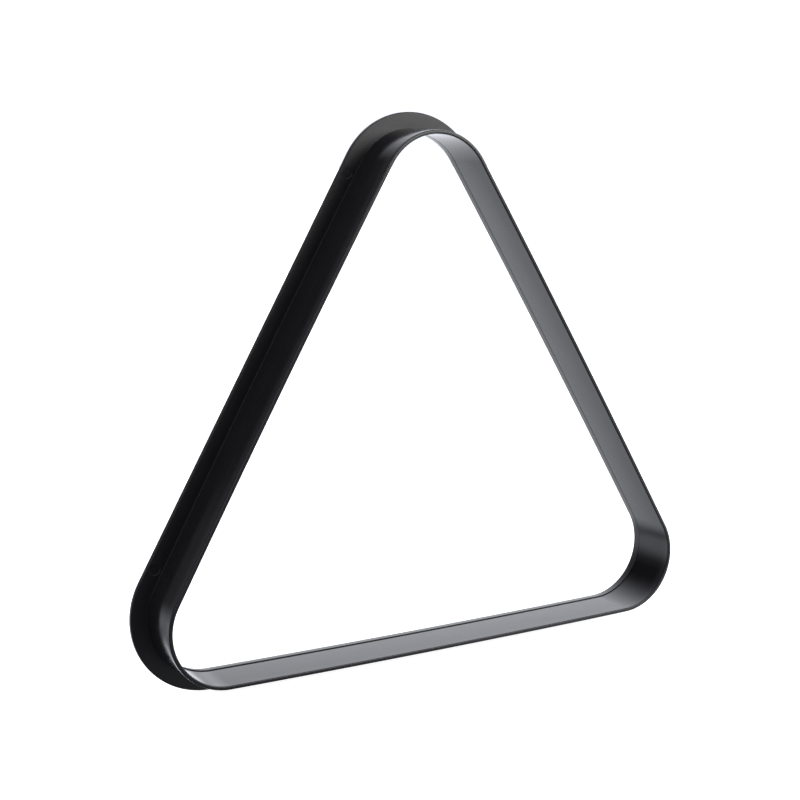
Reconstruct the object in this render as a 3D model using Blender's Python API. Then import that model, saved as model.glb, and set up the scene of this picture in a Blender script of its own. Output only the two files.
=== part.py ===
"""Triangle rack for fifteen pool balls.

A moulded band bent round a triangle with rounded corners, with a flange that stands out from it near its
back. The rack stands with its apex up (+Z), its free edge faces -Y and its back faces +Y. The origin is under
the middle of the rack, on the surface that the flange's lowest run touches.

Every section is swept round the same path. The path is the triangle through the centres of the three corner
balls. A section's point is placed by its offset outward from that path and its depth back from the free edge.
"""

import math

import bmesh
import bpy
from mathutils import Vector

# The balls that the rack gathers.
BALL_DIAMETER = 0.05715
BALL_ROWS = 5
CORNER_CLEARANCE = 0.0005   # round a corner ball, at the height of its middle

# The band.
RACK_DEPTH = 0.0320         # free edge to back
WALL_THICKNESS = 0.0021
DRAFT_ANGLE = math.radians(1.8)
SIDE_BOW = 0.00075          # how far the middle of a side stands out
FREE_EDGE_ROUNDING = 0.0006
INNER_EDGE_ROUNDING = 0.00035

# The flange.
FLANGE_WIDTH = 0.0080       # from the band's outer face at a corner
FLANGE_RIM_THICKNESS = 0.0021
FLANGE_CROWN = 0.0020       # how far the back stands beyond the rim
RIM_ROUNDING = 0.0006
BACK_LAND_WIDTH = 0.0020    # flat strip round the back edge, beside the opening
PARTING_GAP = 0.0003        # between the two nodes

# How finely the path is divided.
CORNER_STEPS = 36
SIDE_STEPS = 12
ROUNDING_STEPS = 3
DOME_STEPS = 6

BALL_RADIUS = BALL_DIAMETER / 2
CORNER_SPACING = (BALL_ROWS - 1) * BALL_DIAMETER
CENTRE_TO_SIDE = CORNER_SPACING / (2 * math.sqrt(3))
CENTRE_TO_CORNER = CORNER_SPACING / math.sqrt(3)
DRAFT_SLOPE = math.tan(DRAFT_ANGLE)
INNER_OFFSET = BALL_RADIUS + CORNER_CLEARANCE - BALL_RADIUS * DRAFT_SLOPE
PARTING_DEPTH = RACK_DEPTH - FLANGE_CROWN - FLANGE_RIM_THICKNESS
FLANGE_OFFSET = INNER_OFFSET + WALL_THICKNESS + PARTING_DEPTH * DRAFT_SLOPE + FLANGE_WIDTH
CENTRE_HEIGHT = CENTRE_TO_SIDE + FLANGE_OFFSET


def clear_scene():
    for old in list(bpy.data.objects):
        bpy.data.objects.remove(old, do_unlink=True)


def path_stations():
    """(point, outward direction, share of the side's bow) once round the path, in the XZ plane."""
    stations = []
    for corner in range(3):
        middle = math.radians(90 + 120 * corner)
        centre = Vector((math.cos(middle), math.sin(middle))) * CENTRE_TO_CORNER
        start = middle - math.radians(60)
        for step in range(CORNER_STEPS + 1):
            angle = start + math.radians(120) * step / CORNER_STEPS
            stations.append((centre, Vector((math.cos(angle), math.sin(angle))), 0.0))
        along = Vector((-math.sin(angle), math.cos(angle)))
        for step in range(1, SIDE_STEPS):
            share = step / SIDE_STEPS
            point = centre + along * CORNER_SPACING * share
            stations.append((point, stations[-1][1], 1 - (2 * share - 1) ** 2))
    return stations


def inner_offset(depth):
    return INNER_OFFSET + depth * DRAFT_SLOPE


def outer_offset(depth):
    return inner_offset(depth) + WALL_THICKNESS


def rounded(corner, before, after, radius):
    """Points of an arc that rounds a section's corner, between the two straight lines that meet there."""
    corner, before, after = Vector(corner), Vector(before), Vector(after)
    towards_before = (before - corner).normalized()
    towards_after = (after - corner).normalized()
    half = towards_before.angle(towards_after) / 2
    centre = corner + (towards_before + towards_after).normalized() * radius / math.sin(half)
    first = corner + towards_before * radius / math.tan(half) - centre
    last = corner + towards_after * radius / math.tan(half) - centre
    turn = first.angle_signed(last)
    points = []
    for step in range(ROUNDING_STEPS + 1):
        angle = -turn * step / ROUNDING_STEPS
        spun = Vector((
            first.x * math.cos(angle) - first.y * math.sin(angle),
            first.x * math.sin(angle) + first.y * math.cos(angle),
        ))
        points.append(tuple(centre + spun))
    return points


def band_section():
    """(offset, depth) round the band, with both of its free edge's corners rounded."""
    end = PARTING_DEPTH - PARTING_GAP / 2
    front_inner, front_outer = (inner_offset(0), 0), (outer_offset(0), 0)
    back_inner, back_outer = (inner_offset(end), end), (outer_offset(end), end)
    section = [back_inner]
    section += rounded(front_inner, back_inner, front_outer, INNER_EDGE_ROUNDING)
    section += rounded(front_outer, front_inner, back_outer, FREE_EDGE_ROUNDING)
    section.append(back_outer)
    return section


def flange_section():
    """(offset, depth) round the flange: its front face, its rim, its domed back, the land and the inside."""
    front = PARTING_DEPTH + PARTING_GAP / 2
    rim_back = PARTING_DEPTH + FLANGE_RIM_THICKNESS
    land_edge = inner_offset(RACK_DEPTH) + BACK_LAND_WIDTH
    front_rim, back_rim = (FLANGE_OFFSET, front), (FLANGE_OFFSET, rim_back)
    inner_front, inner_back = (inner_offset(front), front), (inner_offset(RACK_DEPTH), RACK_DEPTH)
    section = [inner_front]
    section += rounded(front_rim, inner_front, back_rim, RIM_ROUNDING)
    dome = []
    for step in range(DOME_STEPS + 1):
        angle = math.radians(90) * step / DOME_STEPS
        offset = land_edge + (FLANGE_OFFSET - land_edge) * math.cos(angle)
        dome.append((offset, rim_back + FLANGE_CROWN * math.sin(angle)))
    section += dome
    section += rounded(inner_back, dome[-1], inner_front, INNER_EDGE_ROUNDING)
    return section


def sweep(name, section, bowed):
    """Sweeps a section round the path. bowed(offset) is the share of the side's bow that an offset takes."""
    mesh = bpy.data.meshes.new(name)
    bm = bmesh.new()
    rings = []
    for point, outward, bow_share in path_stations():
        ring = []
        for offset, depth in section:
            place = point + outward * (offset + SIDE_BOW * bow_share * bowed(offset))
            ring.append(bm.verts.new((place.x, depth - RACK_DEPTH / 2, place.y + CENTRE_HEIGHT)))
        rings.append(ring)
    count = len(section)
    for ring, following in zip(rings, rings[1:] + rings[:1]):
        for index in range(count):
            after = (index + 1) % count
            bm.faces.new((ring[index], ring[after], following[after], following[index]))
    bmesh.ops.recalc_face_normals(bm, faces=bm.faces)
    bm.to_mesh(mesh)
    bm.free()
    mesh.shade_smooth()
    mesh.set_sharp_from_angle(angle=math.radians(35))
    rack_piece = bpy.data.objects.new(name, mesh)
    bpy.context.collection.objects.link(rack_piece)
    return rack_piece


def give_plastic(rack_piece, name, colour, roughness):
    material = bpy.data.materials.new(name)
    material.use_nodes = True
    shader = material.node_tree.nodes["Principled BSDF"]
    shader.inputs["Base Color"].default_value = (*colour, 1)
    shader.inputs["Roughness"].default_value = roughness
    shader.inputs["Metallic"].default_value = 0
    rack_piece.data.materials.append(material)


def whole_bow(offset):
    return 1.0


def fading_bow(offset):
    """The band's full bow out to its outer face, falling to none at the flange's straight rim."""
    root = outer_offset(RACK_DEPTH)
    return min(1.0, max(0.0, (FLANGE_OFFSET - offset) / (FLANGE_OFFSET - root)))


def build():
    clear_scene()
    wall_band = sweep("wall_band", band_section(), whole_bow)
    give_plastic(wall_band, "gloss_black", (0.012, 0.012, 0.014), 0.15)
    rim_flange = sweep("rim_flange", flange_section(), fading_bow)
    give_plastic(rim_flange, "matt_black", (0.016, 0.016, 0.017), 0.5)


build()
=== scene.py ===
import math

import bmesh
import bpy
from mathutils import Matrix, Vector


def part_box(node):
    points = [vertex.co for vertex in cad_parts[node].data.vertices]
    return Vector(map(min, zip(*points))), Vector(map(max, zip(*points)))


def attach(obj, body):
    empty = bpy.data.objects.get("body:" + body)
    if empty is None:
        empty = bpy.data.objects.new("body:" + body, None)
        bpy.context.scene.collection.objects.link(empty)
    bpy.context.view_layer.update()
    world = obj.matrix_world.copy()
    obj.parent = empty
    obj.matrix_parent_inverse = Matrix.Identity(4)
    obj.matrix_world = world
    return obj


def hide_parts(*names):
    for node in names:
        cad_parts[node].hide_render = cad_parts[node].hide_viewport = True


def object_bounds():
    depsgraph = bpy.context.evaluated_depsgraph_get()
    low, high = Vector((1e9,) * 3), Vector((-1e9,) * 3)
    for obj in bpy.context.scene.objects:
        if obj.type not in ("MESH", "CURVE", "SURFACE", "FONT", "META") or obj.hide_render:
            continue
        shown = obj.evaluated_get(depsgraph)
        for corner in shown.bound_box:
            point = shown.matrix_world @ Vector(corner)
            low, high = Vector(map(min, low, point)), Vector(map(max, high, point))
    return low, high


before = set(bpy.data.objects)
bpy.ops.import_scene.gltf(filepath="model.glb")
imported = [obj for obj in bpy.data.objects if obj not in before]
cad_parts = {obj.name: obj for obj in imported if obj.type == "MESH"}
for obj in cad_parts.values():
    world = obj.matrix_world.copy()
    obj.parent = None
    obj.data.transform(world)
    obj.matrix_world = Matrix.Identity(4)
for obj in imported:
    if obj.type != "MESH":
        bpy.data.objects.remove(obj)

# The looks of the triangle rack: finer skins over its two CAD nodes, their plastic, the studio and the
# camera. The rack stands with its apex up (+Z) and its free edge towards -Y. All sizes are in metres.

CAD_LOW, CAD_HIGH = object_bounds()
BAND_LOW, BAND_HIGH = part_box("wall_band")
FLANGE_LOW, FLANGE_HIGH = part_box("rim_flange")

# Sizes that the frame's boxes don't give.
CORNER_SPACING = 4 * 0.05715            # between the centres of the corner balls
WALL_THICKNESS = 0.0021
DRAFT_SLOPE = math.tan(math.radians(1.8))
SIDE_BOW = 0.00075
FLANGE_RIM_THICKNESS = 0.0021
BACK_LAND_WIDTH = 0.0020
FREE_EDGE_ROUNDING = 0.0007
INNER_EDGE_ROUNDING = 0.0005
RIM_ROUNDING = 0.0006
LEAD_IN_DEPTH = 0.0040                  # the outer face eases inward over this stretch at the free edge
LEAD_IN_DROP = 0.00012
ROOT_FILLET = 0.00012                   # between the band and the flange's front face
SKIN_CLEARANCE = 0.00002                # between the two skins
LEDGE_LENGTH = 0.0012                   # the matt stretch of the inside starts this far before the flange
LEDGE_HEIGHT = 0.00008                  # and stands proud by this much up the sides
LEDGE_HEIGHT_BASE = 0.00045             # and by this much along the base
LEDGE_ROUNDING = 0.00004

# Sizes from the frame.
FREE_EDGE = BAND_LOW.y
BAND_END = BAND_HIGH.y - FREE_EDGE
FLANGE_FRONT = FLANGE_LOW.y - FREE_EDGE
SKIN_END = FLANGE_FRONT - SKIN_CLEARANCE
RACK_DEPTH = CAD_HIGH.y - FREE_EDGE
FLANGE_OFFSET = (CAD_HIGH.x - CAD_LOW.x - CORNER_SPACING) / 2
OUTER_AT_END = (BAND_HIGH.x - BAND_LOW.x - CORNER_SPACING) / 2
CENTRE_TO_CORNER = CORNER_SPACING / math.sqrt(3)
CENTRE_HEIGHT = CORNER_SPACING / (2 * math.sqrt(3)) + FLANGE_OFFSET

# Ejector-pin marks on the flange's front face, two to a side.
MARK_RADIUS = 0.0027
MARK_DEPTH = 0.00018
MARK_SLOPE = 0.0003                     # width of the sloping wall round a mark
MARK_FROM_END = 0.0086                  # along the side, from the corner's centre
MARK_OFFSET = 0.0351

CORNER_STEPS = 96
SIDE_STEPS = 60
ROUNDING_STEPS = 8
LEAD_IN_STEPS = 8
SHARP_ANGLE = math.radians(14)
DOME_STEPS = 18


# ---------------------------------------------------------------- shapes

def path_stations():
    """(point, outward direction, share of the side's bow) once round the rack, in the XZ plane."""
    stations = []
    for corner in range(3):
        middle = math.radians(90 + 120 * corner)
        centre = Vector((math.cos(middle), math.sin(middle))) * CENTRE_TO_CORNER
        start = middle - math.radians(60)
        for step in range(CORNER_STEPS + 1):
            angle = start + math.radians(120) * step / CORNER_STEPS
            stations.append((centre, Vector((math.cos(angle), math.sin(angle))), 0.0))
        outward = stations[-1][1]
        along = Vector((-outward.y, outward.x))
        for step in range(1, SIDE_STEPS):
            share = step / SIDE_STEPS
            stations.append((centre + along * CORNER_SPACING * share, outward, 1 - (2 * share - 1) ** 2))
    return stations


def outer_offset(depth):
    return OUTER_AT_END + (depth - BAND_END) * DRAFT_SLOPE


def inner_offset(depth):
    return outer_offset(depth) - WALL_THICKNESS


def rounded(corner, before, after, radius):
    """Points of an arc that rounds a section's corner, between the two straight lines that meet there."""
    corner, before, after = Vector(corner), Vector(before), Vector(after)
    towards_before = (before - corner).normalized()
    towards_after = (after - corner).normalized()
    half = towards_before.angle(towards_after) / 2
    centre = corner + (towards_before + towards_after).normalized() * radius / math.sin(half)
    first = corner + towards_before * radius / math.tan(half) - centre
    last = corner + towards_after * radius / math.tan(half) - centre
    turn = -first.angle_signed(last)
    points = []
    for step in range(ROUNDING_STEPS + 1):
        spun = first.copy()
        spun.rotate(Matrix.Rotation(turn * step / ROUNDING_STEPS, 2))
        points.append(tuple(centre + spun))
    return points


def band_section():
    """(offset, depth) round the band: inside, free edge, eased outer face and the fillet at its root."""
    def eased(depth):
        run = max(0.0, 1 - depth / LEAD_IN_DEPTH)
        return outer_offset(depth) - LEAD_IN_DROP * run ** 2

    front_inner, front_outer = (inner_offset(0), 0), (eased(0), 0)
    depths = [LEAD_IN_DEPTH * step / LEAD_IN_STEPS for step in range(1, LEAD_IN_STEPS + 1)]
    lead_in = [(eased(depth), depth) for depth in depths]
    section = [(inner_offset(SKIN_END), SKIN_END)]
    section += rounded(front_inner, section[0], front_outer, INNER_EDGE_ROUNDING)
    section += rounded(front_outer, front_inner, lead_in[1], FREE_EDGE_ROUNDING)
    section += lead_in[1:]
    root = outer_offset(SKIN_END)
    for step in range(ROUNDING_STEPS + 1):
        angle = math.radians(90) * step / ROUNDING_STEPS
        offset = root + ROOT_FILLET * (1 - math.cos(angle))
        section.append((offset, SKIN_END - ROOT_FILLET * (1 - math.sin(angle))))
    return section


def flange_section():
    """(offset, depth) round the flange: the ledge inside, its front, its rim, its domed back and the land.
    A point of the ledge has a third number."""
    rim_back = FLANGE_FRONT + FLANGE_RIM_THICKNESS
    land_edge = inner_offset(RACK_DEPTH) + BACK_LAND_WIDTH
    front_rim, back_rim = (FLANGE_OFFSET, FLANGE_FRONT), (FLANGE_OFFSET, rim_back)
    ledge = FLANGE_FRONT - LEDGE_LENGTH
    ledge_edge, inner_back = (inner_offset(ledge), ledge), (inner_offset(RACK_DEPTH), RACK_DEPTH)
    inner_front = (inner_offset(FLANGE_FRONT) - SKIN_CLEARANCE, FLANGE_FRONT)
    ledge_lip = rounded(ledge_edge, inner_back, (FLANGE_OFFSET, ledge), LEDGE_ROUNDING)
    section = [(*point, 1) for point in ledge_lip]
    section += [(inner_offset(ledge) - SKIN_CLEARANCE, ledge), inner_front]
    section += rounded(front_rim, inner_front, back_rim, RIM_ROUNDING)
    dome = []
    for step in range(DOME_STEPS + 1):
        angle = math.radians(90) * step / DOME_STEPS
        offset = land_edge + (FLANGE_OFFSET - land_edge) * math.cos(angle)
        dome.append((offset, rim_back + (RACK_DEPTH - rim_back) * math.sin(angle)))
    section += dome
    section += rounded(inner_back, dome[-1], inner_front, INNER_EDGE_ROUNDING)
    return section


def whole_bow(offset):
    return 1.0


def fading_bow(offset):
    """The band's full bow out to its outer face, falling to none at the flange's straight rim."""
    root = outer_offset(RACK_DEPTH)
    return min(1.0, max(0.0, (FLANGE_OFFSET - offset) / (FLANGE_OFFSET - root)))


def ledge_height(outward):
    """The ledge is highest along the base and dies away round the lower corners."""
    return LEDGE_HEIGHT + (LEDGE_HEIGHT_BASE - LEDGE_HEIGHT) * max(0.0, -outward.y)


def sweep(name, section, bowed):
    """Sweeps a section round the rack. A point with a third number stands inward by the ledge's height."""
    bm = bmesh.new()
    rings = []
    for point, outward, bow_share in path_stations():
        ring = []
        for offset, depth, *on_ledge in section:
            reach = offset + SIDE_BOW * bow_share * bowed(offset)
            if on_ledge:
                reach -= ledge_height(outward)
            place = point + outward * reach
            ring.append(bm.verts.new((place.x, FREE_EDGE + depth, place.y + CENTRE_HEIGHT)))
        rings.append(ring)
    count = len(section)
    for ring, following in zip(rings, rings[1:] + rings[:1]):
        for index in range(count):
            after = (index + 1) % count
            bm.faces.new((ring[index], ring[after], following[after], following[index]))
    bmesh.ops.recalc_face_normals(bm, faces=bm.faces)
    return finished(name, bm)


def finished(name, bm):
    """Makes an object of a bmesh, smooth but for its sharp edges."""
    mesh = bpy.data.meshes.new(name)
    bm.to_mesh(mesh)
    bm.free()
    mesh.shade_smooth()
    mesh.set_sharp_from_angle(angle=SHARP_ANGLE)
    piece = bpy.data.objects.new(name, mesh)
    bpy.context.collection.objects.link(piece)
    return piece


def mark_places():
    """Centres of the ejector-pin marks on the flange's front face."""
    places = []
    for side in range(3):
        angle = math.radians(150 + 120 * side)
        outward = Vector((math.cos(angle), math.sin(angle)))
        along = Vector((-outward.y, outward.x))
        middle = outward * (CENTRE_TO_CORNER / 2 + MARK_OFFSET)
        for end in (-1, 1):
            place = middle + along * end * (CORNER_SPACING / 2 - MARK_FROM_END)
            places.append(Vector((place.x, FREE_EDGE + FLANGE_FRONT, place.y + CENTRE_HEIGHT)))
    return places


def sink_marks(flange):
    """Cuts the shallow discs that the mould's ejector pins leave."""
    bm = bmesh.new()
    for place in mark_places():
        turned = Matrix.Translation(place) @ Matrix.Rotation(math.radians(90), 4, "X")
        bmesh.ops.create_cone(
            bm, cap_ends=True, segments=64, depth=2 * MARK_DEPTH, matrix=turned,
            radius1=MARK_RADIUS - MARK_SLOPE, radius2=MARK_RADIUS + MARK_SLOPE,
        )
    cutter = finished("mark_cutter", bm)
    cut = flange.modifiers.new("marks", "BOOLEAN")
    cut.operation = "DIFFERENCE"
    cut.object = cutter
    cut.solver = "EXACT"
    evaluated = flange.evaluated_get(bpy.context.evaluated_depsgraph_get())
    mesh = bpy.data.meshes.new_from_object(evaluated)
    mesh.set_sharp_from_angle(angle=SHARP_ANGLE)
    flange.modifiers.clear()
    flange.data = mesh
    bpy.data.objects.remove(cutter)


# ---------------------------------------------------------------- materials

class Nodes:
    """Short names for the few kinds of node that the materials and the studio use."""

    def __init__(self, owner, coordinates):
        owner.use_nodes = True
        self.tree = owner.node_tree
        self.place = self.tree.nodes.new("ShaderNodeTexCoord").outputs[coordinates]

    def link(self, source, target):
        self.tree.links.new(source, target)

    def noise(self, scale, detail=2.0, roughness=0.5, drawn_out=1.0):
        """Noise whose grain is drawn_out times as long from front to back as it is wide."""
        mapping = self.tree.nodes.new("ShaderNodeMapping")
        mapping.inputs["Scale"].default_value = (scale, scale / drawn_out, scale)
        self.link(self.place, mapping.inputs["Vector"])
        node = self.tree.nodes.new("ShaderNodeTexNoise")
        node.inputs["Scale"].default_value = 1.0
        node.inputs["Detail"].default_value = detail
        node.inputs["Roughness"].default_value = roughness
        self.link(mapping.outputs["Vector"], node.inputs["Vector"])
        return node.outputs["Fac"]

    def along(self, direction):
        """How far the place lies along a direction."""
        return self.vector("DOT_PRODUCT", self.place, tuple(Vector(direction).normalized()))

    def spread(self, source, low_in, high_in, low, high):
        """Eases from low to high as the source goes from low_in to high_in."""
        node = self.tree.nodes.new("ShaderNodeMapRange")
        node.interpolation_type = "SMOOTHSTEP"
        for socket, value in zip(("From Min", "From Max", "To Min", "To Max"), (low_in, high_in, low, high)):
            node.inputs[socket].default_value = value
        self.link(source, node.inputs["Value"])
        return node.outputs["Result"]

    def blend(self, share, first, second):
        """Mixes two colours, each given as three numbers or as an output."""
        node = self.tree.nodes.new("ShaderNodeMix")
        node.data_type = "RGBA"
        for socket, colour in zip((node.inputs[6], node.inputs[7]), (first, second)):
            if isinstance(colour, tuple):
                socket.default_value = (*colour, 1)
            else:
                self.link(colour, socket)
        self.link(share, node.inputs["Factor"])
        return node.outputs[2]

    def combine(self, kind, first, second):
        """A sum on two numbers, each given as a number or as an output."""
        node = self.tree.nodes.new("ShaderNodeMath")
        node.operation = kind
        for socket, source in zip(node.inputs, (first, second)):
            if isinstance(source, (int, float)):
                socket.default_value = source
            else:
                self.link(source, socket)
        return node.outputs[0]

    def bump(self, height, distance, strength=1.0, under=None):
        node = self.tree.nodes.new("ShaderNodeBump")
        node.inputs["Distance"].default_value = distance
        node.inputs["Strength"].default_value = strength
        self.link(height, node.inputs["Height"])
        if under is not None:
            self.link(under, node.inputs["Normal"])
        return node.outputs["Normal"]

    def depth(self):
        """Distance back from the free edge."""
        return self.combine("SUBTRACT", self.along((0, 1, 0)), FREE_EDGE)

    def vector(self, kind, first, second=None):
        """A sum on vectors. The second can be three numbers or an output."""
        node = self.tree.nodes.new("ShaderNodeVectorMath")
        node.operation = kind
        self.link(first, node.inputs[0])
        if isinstance(second, tuple):
            node.inputs[1].default_value = second
        elif second is not None:
            self.link(second, node.inputs[1])
        return node.outputs["Value" if kind == "DOT_PRODUCT" else "Vector"]

    def facing_out(self):
        """1 where the surface faces out from the rack's middle, -1 on the inside, 0 to the front and back."""
        outward = self.vector("SUBTRACT", self.place, (0, 0, CENTRE_HEIGHT))
        outward = self.vector("NORMALIZE", self.vector("MULTIPLY", outward, (1, 0, 1)))
        normal = self.tree.nodes.new("ShaderNodeNewGeometry").outputs["Normal"]
        return self.vector("DOT_PRODUCT", outward, normal)


def new_material(name):
    """A material, the nodes in it and its shader's inputs."""
    material = bpy.data.materials.new(name)
    nodes = Nodes(material, "Object")
    return material, nodes, nodes.tree.nodes["Principled BSDF"].inputs


# Each black drifts between two shades. The paler colours are painted sheen: a band beside the free edge of
# the gloss, and the inward faces of the matt.
GLOSS_BLACK = (0.0095, 0.0087, 0.0106), (0.0112, 0.0103, 0.0121)
GLOSS_EDGE_SHEEN = (0.036, 0.033, 0.036)
MATT_BLACK = (0.0090, 0.0083, 0.0099), (0.0108, 0.0101, 0.0116)
MATT_INSIDE_SHEEN = (0.045, 0.045, 0.047)
# The band of painted sheen beside the free edge: where it starts, where it is full and where it has faded.
SHEEN_FROM, SHEEN_FULL, SHEEN_TO = 0.0005, 0.0015, 0.007   # distance back from the free edge


def gloss_plastic():
    """Polished black moulding: slow flow waves, fine draw marks from the mould, a rougher worn free edge, and
    a band of painted sheen beside it.
    """
    material, n, shader = new_material("gloss_black_plastic")
    cloudy = n.spread(n.noise(60, 3, 0.6), 0.3, 0.7, 0, 1)
    # A paler band beside the free edge: painted sheen that stands in for the room's reflection there.
    starts = n.spread(n.depth(), SHEEN_FROM, SHEEN_FULL, 0, 1)
    fades = n.spread(n.depth(), 0.0, SHEEN_TO, 1, 0)
    edge_sheen = n.combine("MULTIPLY", starts, fades)
    n.link(n.blend(edge_sheen, n.blend(cloudy, *GLOSS_BLACK), GLOSS_EDGE_SHEEN), shader["Base Color"])
    smudges = n.spread(n.noise(140, 4, 0.65), 0.35, 0.75, 0.12, 0.18)
    worn = n.spread(n.depth(), 0.0, 0.0012, 0.10, 0.0)
    n.link(n.combine("ADD", smudges, worn), shader["Roughness"])
    shader["IOR"].default_value = 1.5
    waves = n.bump(n.noise(45, 1, 0.4), 0.00010)
    drawn = n.bump(n.noise(900, 3, 0.6, drawn_out=25), 0.00002, 1.0, waves)
    n.link(drawn, shader["Normal"])
    return material


def matt_plastic():
    """Fine spark-eroded black moulding. On the inside, where the balls rub it, it is smoother, and it is
    painted greyer there as a sheen.
    """
    material, n, shader = new_material("matt_black_plastic")
    cloudy = n.spread(n.noise(90, 4, 0.6), 0.3, 0.75, 0, 1)
    # Inward faces: smoother, and painted paler as a sheen.
    rubbed_and_sheen = n.spread(n.facing_out(), -0.6, -0.3, 1, 0)
    n.link(n.blend(rubbed_and_sheen, n.blend(cloudy, *MATT_BLACK), MATT_INSIDE_SHEEN), shader["Base Color"])
    eroded = n.spread(n.noise(400, 3, 0.6), 0.3, 0.7, 0.35, 0.38)
    smoother = n.combine("MULTIPLY", rubbed_and_sheen, 0.14)
    n.link(n.combine("SUBTRACT", eroded, smoother), shader["Roughness"])
    shader["IOR"].default_value = 1.45
    grain = n.bump(n.noise(5200, 3, 0.6), 0.00003, 0.6)
    n.link(grain, shader["Normal"])
    return material


def floor_paint():
    material, n, shader = new_material("pale_floor")
    n.link(n.blend(n.noise(3, 2, 0.5), (0.88, 0.88, 0.88), (0.90, 0.90, 0.90)), shader["Base Color"])
    shader["Roughness"].default_value = 0.9
    shader["Specular IOR Level"].default_value = 0.1
    shader["Emission Color"].default_value = (1.0, 1.0, 1.0, 1)
    shader["Emission Strength"].default_value = 0.92
    return material


# ---------------------------------------------------------------- the rack

def dress(piece, node, material):
    piece.data.materials.clear()
    piece.data.materials.append(material)
    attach(piece, "root")
    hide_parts(node)


def build_rack():
    band = sweep("band_skin", band_section(), whole_bow)
    dress(band, "wall_band", gloss_plastic())
    flange = sweep("flange_skin", flange_section(), fading_bow)
    sink_marks(flange)
    dress(flange, "rim_flange", matt_plastic())


# ---------------------------------------------------------------- the studio

FLOOR_RADIUS = 14.0
FLOOR_CLEARANCE = 0.0001                # under the rack
LIT_POINT = Vector((0, 0, 0.12))        # the rack's middle, which the lights face

# (name, direction from the rack, distance, width, height, watts, colour)
PANELS = (
    ("key_softbox", (0.52, -0.84, 0.36), 1.6, 0.95, 0.85, 13, (1.0, 0.99, 0.97)),
    ("left_fill", (-0.80, -0.16, 0.57), 1.7, 0.9, 0.9, 2.5, (0.94, 0.97, 1.0)),
)

# Pale parts of the room: (direction, cosine where it starts, cosine where it is full, strength)
GLOWS = (
    ((0.19, 0.24, 0.95), 0.55, 0.95, 0.52),         # the ceiling
    ((0.80, -0.52, -0.30), 0.86, 0.98, 1.3),        # in front, low on the right
    ((-0.68, -0.50, 0.53), 0.84, 0.96, 1.0),        # in front, high on the left
    ((-0.10, -0.32, 0.94), 0.88, 0.97, 1.4),        # overhead
)
STUDIO_TINT = (0.97, 1.0, 1.07)
SEEN_STRENGTH = 1.1                     # what the camera sees past the rack
LEFT_FLOOR_SHARE = 0.35                 # of the floor's light, in the strip behind on the left


def add_floor():
    bm = bmesh.new()
    bmesh.ops.create_circle(bm, cap_ends=True, segments=128, radius=FLOOR_RADIUS)
    floor = finished("floor", bm)
    floor.location.z = CAD_LOW.z - FLOOR_CLEARANCE
    floor.data.materials.append(floor_paint())
    floor.visible_glossy = False        # the world holds the floor as the plastic mirrors it
    floor.visible_diffuse = False
    floor.visible_shadow = False


def add_panel(name, towards, distance, width, height, power, colour):
    """A soft light that faces the rack's middle, along a direction from it."""
    light = bpy.data.lights.new(name, "AREA")
    light.shape = "RECTANGLE"
    light.size, light.size_y = width, height
    light.energy = power
    light.color = colour
    lamp = bpy.data.objects.new(name, light)
    bpy.context.collection.objects.link(lamp)
    towards = Vector(towards).normalized()
    lamp.location = LIT_POINT + towards * distance
    lamp.rotation_mode = "QUATERNION"
    lamp.rotation_quaternion = towards.to_track_quat("Z", "Y")
    lamp.visible_camera = False


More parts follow.
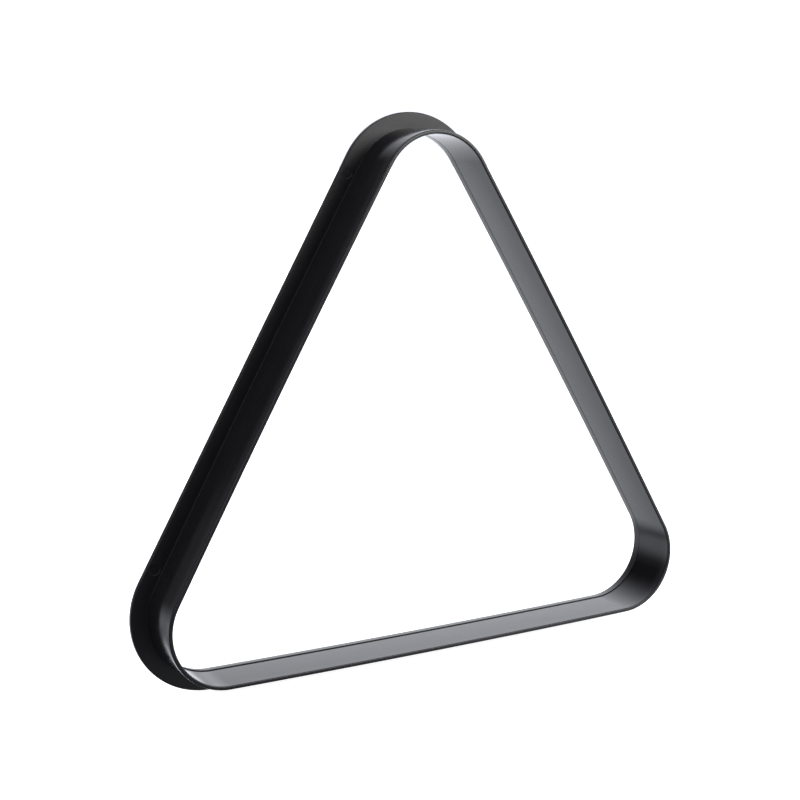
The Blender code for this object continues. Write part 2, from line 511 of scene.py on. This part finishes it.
def add_world():
    """The studio by direction: a wide backdrop to the right and behind, a dark room to the left, a few pale
    parts, and a floor that is brightest behind the rack and dim in front of it."""
    world = bpy.data.worlds.new("studio")
    bpy.context.scene.world = world
    n = Nodes(world, "Generated")
    below = n.along((0, 0, -1))
    behind = n.along((0.38, 0.92, -0.08))
    backdrop = n.spread(n.along((0.90, 0.43, 0.0)), 0.05, 0.85, 0, 1.5)
    backdrop = n.combine("MULTIPLY", backdrop, n.spread(below, -0.25, 0.0, 1.0, 0.5))
    floor = n.combine("ADD", n.spread(behind, -0.3, 0.45, 0.1, 0.84), n.spread(behind, 0.5, 1.0, 0, 0.75))
    floor = n.combine("MULTIPLY", floor, n.spread(below, -0.16, 0.22, 0, 1))
    floor = n.combine("MULTIPLY", floor, n.spread(below, 0.45, 0.95, 1.0, 0.2))
    rightward = n.along((1, 0, 0))
    dims = n.spread(rightward, -0.55, -0.40, 1.0, LEFT_FLOOR_SHARE)
    recovers = n.spread(rightward, -0.40, -0.20, LEFT_FLOOR_SHARE, 1.0)
    floor = n.combine("MULTIPLY", floor, n.combine("MAXIMUM", dims, recovers))
    studio = n.combine("MAXIMUM", backdrop, floor)
    for direction, starts, full, strength in GLOWS:
        studio = n.combine("ADD", studio, n.spread(n.along(direction), starts, full, 0, strength))
    skirting = n.spread(below, -0.225, -0.215, 0.025, 0.10)
    studio = n.combine("ADD", studio, skirting)
    seen = n.tree.nodes.new("ShaderNodeMix")
    seen.data_type = "FLOAT"
    n.link(n.tree.nodes.new("ShaderNodeLightPath").outputs["Is Camera Ray"], seen.inputs["Factor"])
    n.link(studio, seen.inputs[2])
    seen.inputs[3].default_value = SEEN_STRENGTH
    background = n.tree.nodes["Background"]
    n.link(seen.outputs[0], background.inputs["Strength"])
    background.inputs["Color"].default_value = (*STUDIO_TINT, 1)


# ---------------------------------------------------------------- the camera

CAMERA_AZIMUTH = math.radians(28.27)    # to the left of the rack's front
CAMERA_ELEVATION = math.radians(9.84)
CAMERA_ROLL = math.radians(-0.85)
CAMERA_DISTANCE = 0.7426
CAMERA_LENS = 67.42                     # mm
SENSOR_WIDTH = 36                       # mm
AIM = Vector((-0.01474, -0.00126, 0.13569))


def add_camera():
    lens = bpy.data.cameras.new("camera")
    lens.sensor_width = SENSOR_WIDTH
    lens.lens = CAMERA_LENS
    lens.clip_start, lens.clip_end = 0.01, 100
    camera = bpy.data.objects.new("camera", lens)
    bpy.context.collection.objects.link(camera)
    back = Vector((
        -math.sin(CAMERA_AZIMUTH) * math.cos(CAMERA_ELEVATION),
        -math.cos(CAMERA_AZIMUTH) * math.cos(CAMERA_ELEVATION),
        math.sin(CAMERA_ELEVATION),
    ))
    right = Vector((0, 0, 1)).cross(back).normalized()
    up = back.cross(right)
    turned_right = math.cos(CAMERA_ROLL) * right + math.sin(CAMERA_ROLL) * up
    turned_up = math.cos(CAMERA_ROLL) * up - math.sin(CAMERA_ROLL) * right
    axes = Matrix((turned_right, turned_up, back)).transposed().to_4x4()
    camera.matrix_world = Matrix.Translation(AIM + back * CAMERA_DISTANCE) @ axes
    bpy.context.scene.camera = camera


def light_studio():
    add_world()
    for panel in PANELS:
        add_panel(*panel)
    bpy.context.scene.view_settings.view_transform = "Standard"


build_rack()
add_floor()
light_studio()
add_camera()
